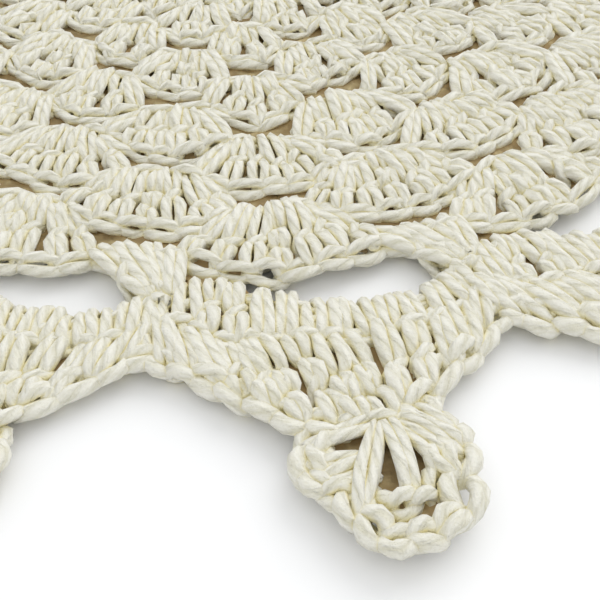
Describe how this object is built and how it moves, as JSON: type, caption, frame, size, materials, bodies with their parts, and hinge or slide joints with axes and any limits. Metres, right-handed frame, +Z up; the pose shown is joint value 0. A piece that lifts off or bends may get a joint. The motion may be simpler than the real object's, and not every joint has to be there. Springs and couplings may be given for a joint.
{
  "type": "lace doily",
  "caption": "Round crocheted cotton doily with a shell ground, open crescents under its edge arches, and a scalloped border of round lobes",
  "frame": {"origin": "on the flat underside of the ground, at the middle of the round mat", "axes": "+Z up out of the mat; -Y and +X lie in the plane of the mat, and the scallop nearest to -Y stands 9.4 degrees from it towards +X"},
  "size_m": [0.3015, 0.2992, 0.0049],
  "materials": {
    "natural_cotton": "matt undyed cotton, soft plied yarn"
  },
  "bodies": {
    "root": {"doily": "natural_cotton"}
  },
  "joints": []
}
